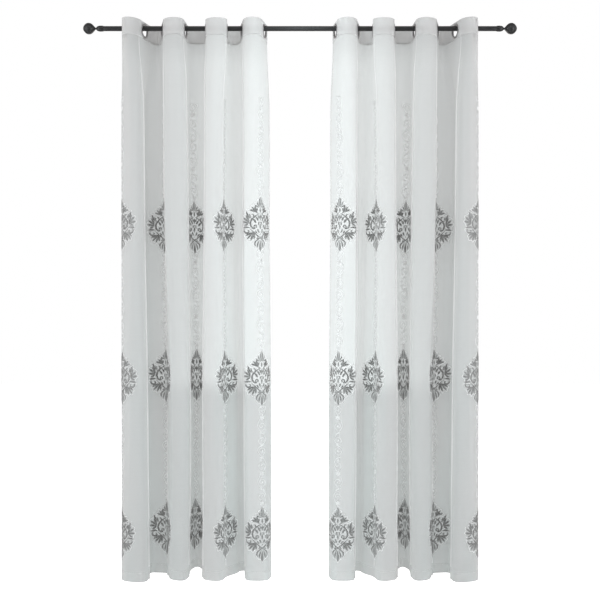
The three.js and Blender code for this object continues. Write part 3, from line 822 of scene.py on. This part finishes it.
def medallion():
    """A pointed damask medallion in grey thread, 140 wide and 204 tall, about
    its middle."""
    axis, half = [], []
    a, h, more = axis.append, half.append, half.extend
    # finial bud, and its leaflets
    h(leaf((-0.7, 66), (-1.0, 103), 5.4, bow=0.15, fat=0.46, point=0.8))
    h(leaf((-2.0, 65), (-13, 85), 4.8, bow=0.16, fat=0.6))
    h(leaf((-2.0, 64), (-22.5, 74), 5.0, bow=0.16, fat=0.6))
    # spindle
    a(leaf((0, 43), (0, 62), 6.4, fat=0.5))
    # upper leaf of four lobes on a short stem
    h(stroke([(-5.5, 40.5), (-11, 42), (-15.5, 45.5)], [1.2, 3.4, 4.0]))
    more(spray((-14, 43.5), [(-41.0, 53.5), (-32.5, 65), (-20.5, 69.5), (-10, 60)], 7.6))
    # tulip: outer petal, hooked inner petal
    h(leaf((-36, 19), (-53.5, 47.5), 7.0, bow=0.14, fat=0.66, point=0.62))
    h(leaf((-35, 21), (-42, 39), 5.4, bow=0.05, fat=0.6, point=0.65))
    h(stroke([(-35.5, 19.5), (-28.5, 23), (-24.5, 30), (-27.5, 36.5), (-33.5, 36)], [1.4, 4.2, 5.2, 4.2, 1.6]))
    # side fan of four lobes
    more(spray((-43.5, 5.5), [(-55.5, 33.5), (-67, 25.5), (-71.0, 9.5), (-61.5, -5.5)], 8.4))
    # great curved leaf: its rib, and the lobes on its inner side
    h(stroke([(-3.0, 39), (-12, 35.5), (-23, 26.5), (-33, 16), (-37.5, 4), (-35, -8), (-28, -16), (-19.5, -18.5)],
             [1.2, 3.4, 4.8, 6.2, 7.2, 6.6, 5.2, 1.8]))
    h(leaf((-10, 36), (-5.5, 21), 5.4, bow=0.20, fat=0.58))
    h(leaf((-19, 29), (-8.5, 11.5), 7.4, bow=0.20, fat=0.58, point=0.6))
    h(leaf((-30, 20.5), (-16.5, 3.5), 8.0, bow=0.20, fat=0.58, point=0.6))
    # curl inside the great leaf, and the leaflets beside it
    more(curl((-17.5, -9), 8.2, 3.0, -100, -300, 5.0, 3.8, bead=3.2))
    h(leaf((-7.5, -5), (-6.0, 10), 4.8, bow=-0.14, fat=0.55))
    h(leaf((-9.5, -18), (-3.2, -34), 6.4, bow=-0.12))
    h(leaf((-20, -24), (-10, -36), 5.6, bow=-0.14))
    # centre
    a(leaf((0, 13), (0, 37), 5.8, fat=0.5, point=0.7))
    a(bead((0, 6.5), 2.3))
    a(leaf((0, 2), (0, -20), 6.2, fat=0.5, point=0.7))
    a(bead((0, -38), 2.0))
    # crossing stems
    h(stroke([(-40, -18), (-28, -28), (-17, -38), (-7, -47), (4, -54.5), (11, -58.5)], [1.4, 3.8, 4.6, 4.4, 3.6, 1.4]))
    # side hook with its leaf head
    h(leaf((-37, -14.5), (-66.5, -14.5), 7.8, bow=-0.16, fat=0.66, point=0.62))
    h(stroke([(-60, -18.5), (-61, -27), (-54, -33.5), (-45.5, -31.5), (-43.5, -25), (-49, -23)],
             [1.8, 5.4, 6.2, 5.6, 4.6, 2.2]))
    # club leaf of four lobes
    more(spray((-25.5, -31.5), [(-55.5, -45), (-50.5, -57), (-37, -62.5), (-24, -57.5)], 8.0))
    # small hook
    more(curl((-11.5, -53.5), 4.0, 1.8, 100, -250, 2.8, 1.8, bead=1.9))
    # pendant palmette
    a(leaf((0, -58), (0, -103), 9.6, fat=0.66, point=0.7))
    h(leaf((-2.5, -59), (-11.5, -90), 6.0, bow=-0.14, fat=0.6, point=0.65))
    h(stroke([(-4.5, -58.5), (-13.5, -62), (-19.5, -69), (-20.5, -77.5), (-16, -85.5)], [1.6, 4.4, 5.6, 4.8, 1.4]))
    return axis + half + mirror_motif(half)


def medallion_cord():
    """The fine white cord that runs between and round the medallion's leaves."""
    half = [
        cord([(0, 107.5), (-6.5, 94), (-13.5, 90), (-15, 81), (-26.5, 77.5), (-14, 67), (-4.5, 62)]),
        cord([(-6, 63), (-13, 63), (-19, 74), (-26.5, 66), (-36.5, 70), (-37.5, 60), (-46, 54), (-31, 44.5), (-20, 38)]),
        cord([(-30, 41.5), (-40, 42.5), (-50, 45.5), (-56.5, 51.5), (-54, 40), (-61, 35.5), (-72, 28.5), (-69, 17.5), (-75.5, 8.5),
              (-67, -1.5), (-65.5, -10.5), (-51, -7.5), (-41, -1)]),
        cord([(-33.5, 24), (-40, 14), (-45, 20.5), (-51.5, 37)]),
        cord([(-4, 43), (-15, 38.5), (-27, 29), (-38, 17.5), (-42.5, 4), (-40.5, -8), (-33.5, -17.5), (-22, -29), (-9, -41), (0, -48.5)]),
        cord([(-42, -19.5), (-53, -19), (-69.5, -18), (-66, -29), (-56, -38), (-43, -36), (-38.5, -28)]),
        cord([(-30, -29), (-45, -36.5), (-60, -44.5), (-55, -53), (-53.5, -62), (-42, -61.5), (-35.5, -69), (-28.5, -60.5), (-20.5, -64),
              (-17, -51)]),
        cord([(-8, -57), (-17.5, -59.5), (-24, -68), (-25, -79), (-19, -88.5), (-13.5, -94.5), (-7, -95.5), (0, -108)]),
    ]
    return half + mirror_motif(half)


# scroll band: heights above the medallion below it, and the side it leans to
SPIRALS = [(144, 1), (199, -1), (263, 1), (319, -1), (358, 1), (412, -1), (476, 1)]
BLOSSOMS = [(0, 118, 7.5), (-1, 231, 9.5), (1, 444, 9.5)]


def scroll_band():
    """A running scroll, 40 wide, from 106 to 490 above a medallion's middle."""
    vine = [(0, 106)] + [(16.5 * lean, v + 3) for v, lean in SPIRALS] + [(0, 490)]
    out = [stroke(vine, [1.2] + [1.9] * len(SPIRALS) + [1.0], step=4.2)]
    for v, lean in SPIRALS:
        out += curl((1.5 * lean, v), 17.0, 2.6, -105 if lean > 0 else -75, -430 * lean, 2.3, 1.7, bead=2.3, step=3.6)
    for (v0, lean), (v1, _) in zip(SPIRALS, SPIRALS[1:]):
        m = (v0 + v1) / 2
        out.append(leaf((2 * lean, m + 1), (-9 * lean, m + 4), 3.8, bow=0.15 * lean))
        out.append(leaf((-1 * lean, m - 1), (10 * lean, m - 5), 3.8, bow=0.15 * lean))
    for u, v, r in BLOSSOMS:
        for k in range(6):
            t = math.radians(90 + 60 * k)
            out.append(leaf((u + 2.0 * math.cos(t), v + 2.0 * math.sin(t)),
                            (u + r * math.cos(t), v + r * math.sin(t)), r * 0.62, fat=0.6, point=0.5, step=1.6))
        out.append(bead((u, v), 2.2))
    return out


BACK_LIFT = 0.22


def stitched(items, height):
    """Turns flat shapes into raised satin stitch: points (u, v, lift), faces
    and texture places. The lift is towards the room; the flat back shows on
    the wall side of the cloth. Broad shapes get a domed section, fine ones a
    three-sided one."""
    pts, uvs, faces = [], [], []
    count = 0
    for index, (kind, where, size) in enumerate(items):
        nudge = 0.012 * (index % 9)
        if kind == "bead":
            n = 10
            t = np.linspace(0, 2 * math.pi, n, endpoint=False)
            rim = np.stack([where[0] + size * np.cos(t), where[1] + size * np.sin(t)], 1)
            ring = np.stack([where[0] + 0.7 * size * np.cos(t), where[1] + 0.7 * size * np.sin(t)], 1)
            for places, up in ((rim, nudge), (ring, height * 0.75 + nudge), (rim, -BACK_LIFT - nudge)):
                pts.append(np.column_stack([places, np.full(n, up)]))
            pts.append(np.array([[*where, height + nudge], [*where, -BACK_LIFT - nudge]]))
            uvs.append(np.vstack([p[:, :2] for p in pts[-4:]]) * MM)
            for k in range(n):
                m = (k + 1) % n
                faces.append((count + k, count + m, count + n + m, count + n + k))
                faces.append((count + n + k, count + n + m, count + 3 * n))
                faces.append((count + m, count + k, count + 2 * n + k, count + 2 * n + m))
                faces.append((count + 2 * n + m, count + 2 * n + k, count + 3 * n + 1))
            count += 3 * n + 2
            continue
        if size.max() > 3.5:
            across, dome = np.array([-1.0, -0.6, 0.6, 1.0, 1.0, -1.0]), np.array([0.0, 0.86, 0.86, 0.0, -1.0, -1.0])
        else:
            across, dome = np.array([-1.0, 0.0, 1.0, 0.0]), np.array([0.0, 1.0, 0.0, -1.0])
        ahead = np.gradient(where, axis=0)
        ahead /= np.linalg.norm(ahead, axis=1)[:, None] + 1e-9
        left = np.stack([-ahead[:, 1], ahead[:, 0]], 1)
        n, wide = len(where), len(across)
        tall = np.minimum(height, 0.16 + 0.16 * size)
        along = np.concatenate([[0], np.cumsum(np.linalg.norm(np.diff(where, axis=0), axis=1))])
        strip = where[:, None, :] + left[:, None, :] * (across[None, :, None] * size[:, None, None] / 2)
        lift = np.where(dome < 0, -BACK_LIFT - nudge, tall[:, None] * dome[None, :] + nudge)
        pts.append(np.concatenate([strip, lift[..., None]], -1).reshape(-1, 3))
        place = np.stack([np.repeat(along[:, None], wide, 1), across[None, :] * size[:, None] / 2], -1)
        uvs.append(place.reshape(-1, 2) * MM)
        for k in range(n - 1):
            for j in range(wide):
                m = (j + 1) % wide
                faces.append((count + wide * k + j, count + wide * (k + 1) + j,
                              count + wide * (k + 1) + m, count + wide * k + m))
        e = count + wide * (n - 1)
        faces.append(tuple(count + j for j in range(wide)))
        faces.append(tuple(e + j for j in reversed(range(wide))))
        count += wide * n
    return np.vstack(pts), np.vstack(uvs), faces


def lay_motif(pts, column, z0):
    """Lays (u, v, lift) points on the cloth about a column's line."""
    return on_cloth(np.clip(column + pts[:, 0], 0, PANEL_WIDTH), z0 + pts[:, 1], -pts[:, 2])


def make_embroidery(side):
    word = "left" if side < 0 else "right"
    made = []
    for kind, items, height, mat in (
        ("medallions", medallion(), 0.9, GREY_THREAD),
        ("outlines", medallion_cord(), 0.7, WHITE_CORD),
        ("scrolls", scroll_band(), 0.6, WHITE_THREAD),
    ):
        pts, uv, faces = stitched(items, height)
        all_points, all_uv, all_faces = [], [], []
        count = 0
        for column in MOTIF_COLUMNS:
            for row in MOTIF_ROWS:
                all_points.append(lay_motif(pts, column, row))
                all_uv.append(uv)
                all_faces += [tuple(v + count for v in f) for f in faces]
                count += len(pts)
        ob = mesh_object(f"{kind}_{word}", mirrored(np.vstack(all_points), side), all_faces, [mat],
                         uv=np.vstack(all_uv), flip=side < 0)
        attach(ob, "root")
        made.append(ob)
    return made


# ------------------------------------------------------------------ stitching
def stitch_row(start, end, pitch=4.2, length=3.0):
    """Centres and directions of the stitches of one seam, in flat places."""
    a, b = np.array(start, float), np.array(end, float)
    size = np.linalg.norm(b - a)
    way = (b - a) / size
    n = int(size / pitch)
    middles = a + way * ((np.arange(n) + 0.5) * size / n)[:, None]
    return middles, way, length


def make_stitching(side):
    word = "left" if side < 0 else "right"
    foot = PANEL_TOP - HEADING_DEPTH
    seams = [
        (stitch_row((2, foot + 3.4), (PANEL_WIDTH - 2, foot + 3.4)), -0.45),
        (stitch_row((2, PANEL_FOOT + HEM_DEPTH - 4), (PANEL_WIDTH - 2, PANEL_FOOT + HEM_DEPTH - 4)), -0.3),
        (stitch_row((12, PANEL_FOOT + 2), (12, PANEL_TOP - 2)), -0.3),
        (stitch_row((PANEL_WIDTH - 12, PANEL_FOOT + 2), (PANEL_WIDTH - 12, PANEL_TOP - 2)), -0.3),
    ]
    points, faces, uv = [], [], []
    count = 0
    for (middles, way, length), lift in seams:
        n = len(middles)
        side_way = np.array([-way[1], way[0]])
        rings = []
        for along, wide, up in ((-0.5, 0.0, 0.0), (-0.34, 1.0, 1.0), (0.34, 1.0, 1.0), (0.5, 0.0, 0.0)):
            if wide == 0.0:
                rings.append([(middles + way * along * length, lift)])
            else:
                c = middles + way * along * length
                rings.append([(c + side_way * 0.28, lift), (c, lift - 0.34), (c - side_way * 0.28, lift),
                              (c, lift + 0.2)])
        flat, lifts = [], []
        for ring in rings:
            for place, up in ring:
                flat.append(place)
                lifts.append(np.full(n, up))
        flat = np.stack(flat, 1)
        lifts = np.stack(lifts, 1)
        pos = on_cloth(flat[..., 0], flat[..., 1], lifts)
        points.append(pos.reshape(-1, 3))
        uv.append(flat.reshape(-1, 2) * MM)
        for k in range(n):
            o = count + 10 * k
            for j in range(4):
                m = (j + 1) % 4
                faces.append((o, o + 1 + m, o + 1 + j))
                faces.append((o + 1 + j, o + 1 + m, o + 5 + m, o + 5 + j))
                faces.append((o + 9, o + 5 + j, o + 5 + m))
        count += 10 * n
    ob = mesh_object(f"stitching_{word}", mirrored(np.vstack(points), side), faces, [SEWING_THREAD],
                     uv=np.vstack(uv), flip=side > 0)
    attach(ob, "root")
    return ob


# ------------------------------------------------------------------ metalwork
def turned(name, profile, sides, material, closed=False):
    """A turned piece about +X from (along, radius) pairs."""
    points, faces = [], []
    n = len(profile)
    a = np.linspace(0, 2 * math.pi, sides, endpoint=False)
    index = []
    for along, radius in profile:
        if radius < 1e-6:
            index.append([len(points)])
            points.append((along, 0, 0))
        else:
            index.append(list(range(len(points), len(points) + sides)))
            points += [(along, radius * math.cos(t), radius * math.sin(t)) for t in a]
    pairs = list(zip(index, index[1:])) + ([(index[-1], index[0])] if closed else [])
    for p, q in pairs:
        for k in range(sides):
            m = (k + 1) % sides
            if len(p) == 1 and len(q) == 1:
                continue
            if len(p) == 1:
                faces.append((p[0], q[m], q[k]))
            elif len(q) == 1:
                faces.append((p[k], p[m], q[0]))
            else:
                faces.append((p[k], p[m], q[m], q[k]))
    return mesh_object(name, points, faces, [material])


def fine_profile(profile, step):
    line, _ = through(profile, [0] * len(profile), step)
    return [(float(a), max(0.0, float(r))) for a, r in line]


def make_finial(side):
    word = "left" if side < 0 else "right"
    outer = fine_profile(FINIAL_PROFILE[:11], 1.8)
    collar = fine_profile(FINIAL_PROFILE[10:], 1.8)[1:]
    profile = outer + collar + [(78.0, COLLAR_BORE_RADIUS), (COLLAR_BORE_FLOOR, COLLAR_BORE_RADIUS),
                                (COLLAR_BORE_FLOOR, 0.0)]
    ob = turned(f"finial_ball_{word}", profile, 64, BLACK)
    for v in ob.data.vertices:
        x = FINIAL_TIP * MM - v.co.x
        v.co.x = -x if side < 0 else x
    if side > 0:
        ob.data.flip_normals()
    edges_sharp(ob)
    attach(ob, "root")
    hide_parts(f"finial_{word}")


def edges_sharp(ob, degrees=50):
    """Keeps smooth shading on round faces and lets real corners stay crisp."""
    me = ob.data
    import bmesh
    bm = bmesh.new()
    bm.from_mesh(me)
    for e in bm.edges:
        if len(e.link_faces) == 2 and e.calc_face_angle(0) > math.radians(degrees):
            e.smooth = False
    bm.to_mesh(me)
    bm.free()


def make_rod():
    r, half = ROD_RADIUS, ROD_HALF_LENGTH
    cap = [(-half, 0.0), (-half, r - 0.8), (-half + 0.25, r - 0.25), (-half + 0.8, r)]
    middle = [(x, r) for x in np.linspace(-half + 40, half - 40, 24)]
    profile = cap + middle + [(-x, y) for x, y in reversed(cap)]
    ob = turned("rod_bar", profile, 64, BLACK)
    edges_sharp(ob)
    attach(ob, "root")
    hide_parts("rod")


RING_PROFILE = [
    # along the ring's axis, radius: barrel, rolled lip, flange, rim, back face
    (0.0, 20.35), (0.18, 20.05), (1.4, 20.0), (2.2, 20.08), (2.62, 20.4), (2.8, 21.0), (2.8, 22.4), (2.72, 24.4),
    (2.5, 26.2), (2.2, 27.3), (1.85, 27.9), (1.55, 28.0), (1.36, 27.75), (1.3, 27.2), (1.3, 24.5), (1.3, 22.3),
    (1.0, 22.02), (0.3, 22.0),
]


def make_ring(i, side):
    word = "left" if side < 0 else "right"
    x, lean = EYELETS[i]
    way = unit(-lean if i % 2 == 0 else lean)
    turn = math.atan2(way[0], -way[1])
    if side > 0:
        turn = math.pi - turn
        x = -x
    front = RING_PROFILE
    back = [(-a, r) for a, r in reversed(RING_PROFILE)][:-1]
    ob = turned(f"eyelet_ring_{word}_{i + 1}", front + back, 56, NICKEL, closed=True)
    ob.data.flip_normals()
    co = np.empty(len(ob.data.vertices) * 3)
    ob.data.vertices.foreach_get("co", co)
    co = co.reshape(-1, 3)
    c, s = math.cos(turn), math.sin(turn)
    out = np.stack([co[:, 0] * c - co[:, 1] * s + x * MM, co[:, 0] * s + co[:, 1] * c, co[:, 2] + EYELET_Z * MM], 1)
    ob.data.vertices.foreach_set("co", out.ravel())
    ob.data.update()
    edges_sharp(ob, 60)
    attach(ob, "root")
    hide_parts(f"eyelet_{word}_{i + 1}")
    return ob


# ------------------------------------------------------------------ studio
FLOOR_Z = -2.16


def room_behind(nt):
    """How light the room is behind the cloth, by direction in the world, painted with a window's light and the rod's
    shade: lighter behind the gap between the panels than at the sides, darker below the sill's height than above it,
    and a painted shadow close under the rod."""
    co = node(nt, "ShaderNodeTexCoord")
    split = node(nt, "ShaderNodeSeparateXYZ")
    nt.links.new(co.outputs["Generated"], split.inputs["Vector"])
    away = node(nt, "ShaderNodeMath", operation="ABSOLUTE")
    nt.links.new(split.outputs["X"], away.inputs[0])
    levels = []
    for middle, sides, near, far in (BEHIND_ABOVE, BEHIND_BELOW):
        level = node(nt, "ShaderNodeMapRange", interpolation_type="SMOOTHSTEP")
        for key, value in (("From Min", near), ("From Max", far), ("To Min", middle), ("To Max", sides)):
            level.inputs[key].default_value = value
        nt.links.new(away.outputs["Value"], level.inputs["Value"])
        levels.append(level)
    sill = node(nt, "ShaderNodeMapRange")
    sill.inputs["From Min"].default_value = SILL - 0.010
    sill.inputs["From Max"].default_value = SILL + 0.010
    nt.links.new(split.outputs["Z"], sill.inputs["Value"])
    both = node(nt, "ShaderNodeMix", data_type="FLOAT")
    nt.links.new(sill.outputs["Result"], both.inputs[0])
    nt.links.new(levels[1].outputs["Result"], both.inputs[2])
    nt.links.new(levels[0].outputs["Result"], both.inputs[3])
    # painted shadow: the backdrop seen through the cloth darkens close under the rod
    high = node(nt, "ShaderNodeMapRange", interpolation_type="SMOOTHSTEP")
    for key, value in (("From Min", UNDER_ROD_SHADOW[0]), ("From Max", UNDER_ROD_SHADOW[1]), ("To Min", 1.0), ("To Max", UNDER_ROD_SHADOW[2])):
        high.inputs[key].default_value = value
    nt.links.new(split.outputs["Z"], high.inputs["Value"])
    level = node(nt, "ShaderNodeMath", operation="MULTIPLY")
    nt.links.new(both.outputs[0], level.inputs[0])
    nt.links.new(high.outputs["Result"], level.inputs[1])
    return level.outputs["Value"]


def studio():
    scene = bpy.context.scene
    scene.view_settings.view_transform = "Standard"
    camera = bpy.data.cameras.new("camera")
    camera.sensor_width = 36
    camera.lens = 858.7 / 600 * 36
    camera.clip_end = 100
    eye = bpy.data.objects.new("camera", camera)
    eye.location = (0, -3.315, -1.0475)
    eye.rotation_euler = (math.pi / 2, 0, 0)
    scene.collection.objects.link(eye)
    scene.camera = eye

    world = bpy.data.worlds.new("studio")
    scene.world = world
    world.use_nodes = True
    nt = world.node_tree
    nt.nodes.clear()
    path = node(nt, "ShaderNodeLightPath")
    light = node(nt, "ShaderNodeBackground", Strength=WORLD_LIGHT)
    plain = node(nt, "ShaderNodeBackground", Strength=1.0)
    behind = node(nt, "ShaderNodeBackground", Strength=1.0)
    for b, tint in ((light, ROOM_TINT), (plain, (1, 1, 1)), (behind, BEHIND_TINT)):
        b.inputs["Color"].default_value = (*tint, 1)
    nt.links.new(room_behind(nt), behind.inputs["Strength"])
    over = node(nt, "ShaderNodeMath", operation="GREATER_THAN")
    over.inputs[1].default_value = 0.5
    nt.links.new(path.outputs["Transparent Depth"], over.inputs[0])
    seen = node(nt, "ShaderNodeMixShader")
    nt.links.new(over.outputs["Value"], seen.inputs["Fac"])
    nt.links.new(plain.outputs[0], seen.inputs[1])
    nt.links.new(behind.outputs[0], seen.inputs[2])
    both = node(nt, "ShaderNodeMixShader")
    nt.links.new(path.outputs["Is Camera Ray"], both.inputs["Fac"])
    nt.links.new(light.outputs[0], both.inputs[1])
    nt.links.new(seen.outputs[0], both.inputs[2])
    out = node(nt, "ShaderNodeOutputWorld")
    nt.links.new(both.outputs[0], out.inputs["Surface"])

    floor_mat = bpy.data.materials.new("floor")
    floor_mat.use_nodes = True
    nt = floor_mat.node_tree
    nt.nodes.clear()
    path = node(nt, "ShaderNodeLightPath")
    over = node(nt, "ShaderNodeMath", operation="GREATER_THAN")
    over.inputs[1].default_value = 0.5
    nt.links.new(path.outputs["Transparent Depth"], over.inputs[0])
    diffuse = node(nt, "ShaderNodeBsdfDiffuse")
    diffuse.inputs["Color"].default_value = (0.6, 0.6, 0.6, 1)
    glow = node(nt, "ShaderNodeEmission", Strength=FLOOR_GLOW)
    lit = node(nt, "ShaderNodeAddShader")
    nt.links.new(diffuse.outputs[0], lit.inputs[0])
    nt.links.new(glow.outputs[0], lit.inputs[1])
    dim = node(nt, "ShaderNodeBsdfTransparent")
    pick = node(nt, "ShaderNodeMixShader")
    nt.links.new(over.outputs["Value"], pick.inputs["Fac"])
    nt.links.new(lit.outputs[0], pick.inputs[1])
    nt.links.new(dim.outputs[0], pick.inputs[2])
    both = node(nt, "ShaderNodeMixShader")
    nt.links.new(path.outputs["Is Camera Ray"], both.inputs["Fac"])
    nt.links.new(diffuse.outputs[0], both.inputs[1])
    nt.links.new(pick.outputs[0], both.inputs[2])
    out = node(nt, "ShaderNodeOutputMaterial")
    nt.links.new(both.outputs[0], out.inputs["Surface"])
    me = bpy.data.meshes.new("floor")
    me.from_pydata([(-8, -8, FLOOR_Z), (8, -8, FLOOR_Z), (8, 8, FLOOR_Z), (-8, 8, FLOOR_Z)], [], [(0, 1, 2, 3)])
    me.materials.append(floor_mat)
    floor = bpy.data.objects.new("floor", me)
    scene.collection.objects.link(floor)

    for name, place, aim, size, power, colour in LIGHTS:
        lamp = bpy.data.lights.new(name, "AREA")
        lamp.shape = "RECTANGLE"
        lamp.size, lamp.size_y = size
        lamp.energy = power
        lamp.color = colour
        ob = bpy.data.objects.new(name, lamp)
        ob.location = place
        way = Vector(aim) - Vector(place)
        ob.rotation_euler = way.to_track_quat("-Z", "Y").to_euler()
        ob.visible_camera = False
        scene.collection.objects.link(ob)


WORLD_LIGHT = 0.38
# behind the middle, behind the sides, and where between them it falls off
# painted window light: the backdrop seen through the cloth is lighter behind the middle and above the sill
BEHIND_ABOVE = (0.90, 0.49, 0.05, 0.19)
BEHIND_BELOW = (0.52, 0.46, 0.06, 0.15)
SILL = -0.0990
# painted shadow under the rod: where it starts and ends in height, and how dark it gets
UNDER_ROD_SHADOW = (0.258, 0.296, 0.74)
FLOOR_GLOW = 0.9
ROOM_TINT = (1.0, 0.96, 0.96)
BEHIND_TINT = (0.95, 1.0, 0.992)
GAP_TINT = (0.87, 0.98, 1.0)
CROSS_TINT = (0.94, 0.97, 1.0)
REAR_TINT = (1.0, 0.955, 0.935)
LIGHTS = [
    # name, place, aim, size, power, colour
    ("cross_left", (-1.6, -1.0, -0.85), (0.4, 0.0, -0.85), (0.6, 2.9), 13.0, CROSS_TINT),
    ("cross_right", (1.6, -1.0, -0.85), (-0.4, 0.0, -0.85), (0.6, 2.9), 13.0, CROSS_TINT),
    ("outer_left", (-2.2, -1.3, -0.8), (-0.45, 0.0, -0.8), (0.8, 2.9), 5.0, (1, 1, 1)),
    ("outer_right", (2.2, -1.3, -0.8), (0.45, 0.0, -0.8), (0.8, 2.9), 5.0, (1, 1, 1)),
    ("side_left", (-2.4, -0.2, -0.8), (-0.45, 0.0, -0.8), (0.8, 2.9), 5.5, (1, 1, 1)),
    ("side_right", (2.4, -0.2, -0.8), (0.45, 0.0, -0.8), (0.8, 2.9), 5.5, (1, 1, 1)),
    ("gap_left", (0.0, -0.4, -0.85), (-0.3, 0.0, -0.85), (0.15, 2.9), 1.7, GAP_TINT),
    ("gap_right", (0.0, -0.4, -0.85), (0.3, 0.0, -0.85), (0.15, 2.9), 1.7, GAP_TINT),
    ("rear_left", (-0.5, 2.5, -0.8), (-0.5, 0.0, -1.1), (2.5, 2.5), 30.0, REAR_TINT),
    ("rear_right", (0.5, 2.5, -0.8), (0.5, 0.0, -1.1), (2.5, 2.5), 30.0, REAR_TINT),
    ("top", (0.0, -1.6, 0.9), (0.0, 0.0, -0.1), (2.2, 0.6), 6.0, (1, 1, 1)),
]

studio()
make_rod()
for side in (-1, 1):
    make_finial(side)
    word = "left" if side < 0 else "right"
    cloth = make_panel(side)
    rings = [make_ring(i, side) for i in range(EYELET_COUNT)]
    sewn = make_embroidery(side) + [make_stitching(side)]

bpy.context.view_layer.update()
